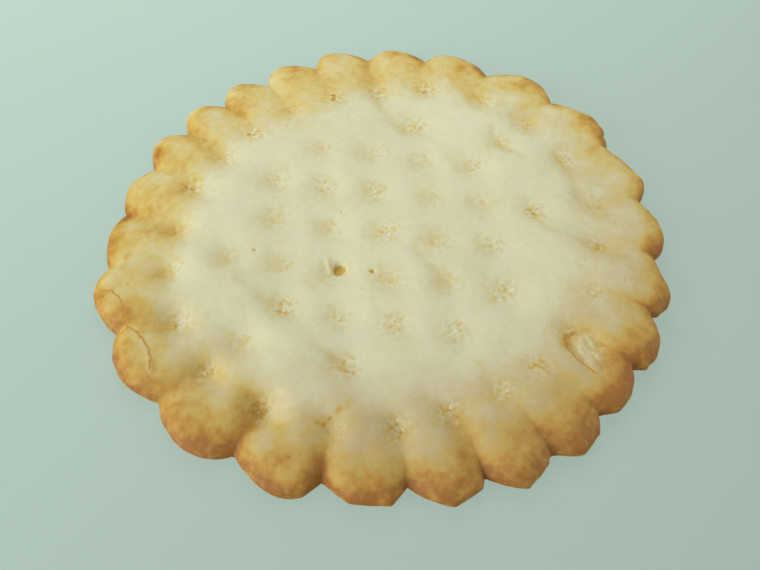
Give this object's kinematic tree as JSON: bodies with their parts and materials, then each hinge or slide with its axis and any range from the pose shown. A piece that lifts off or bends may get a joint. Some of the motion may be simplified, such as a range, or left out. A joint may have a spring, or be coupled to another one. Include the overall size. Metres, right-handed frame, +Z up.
{
  "type": "cracker",
  "caption": "Round baked cracker with a scalloped rim, a pale puffed top dimpled by docking pins, a browned edge and a flat underside.",
  "frame": {"origin": "on the flat resting face, below the middle of the outline's box", "axes": "+Z up, out of the docked top; +X along the rolling direction, in which the dough sprang back; +Y across it"},
  "size_m": [0.0652, 0.0658, 0.0038],
  "materials": {
    "crust": "dry matt baked dough: pale cream in the middle of the top, golden to tan on the lobes and round the rim, toasted brown underneath"
  },
  "bodies": {
    "root": {"cracker": "crust"}
  },
  "joints": []
}
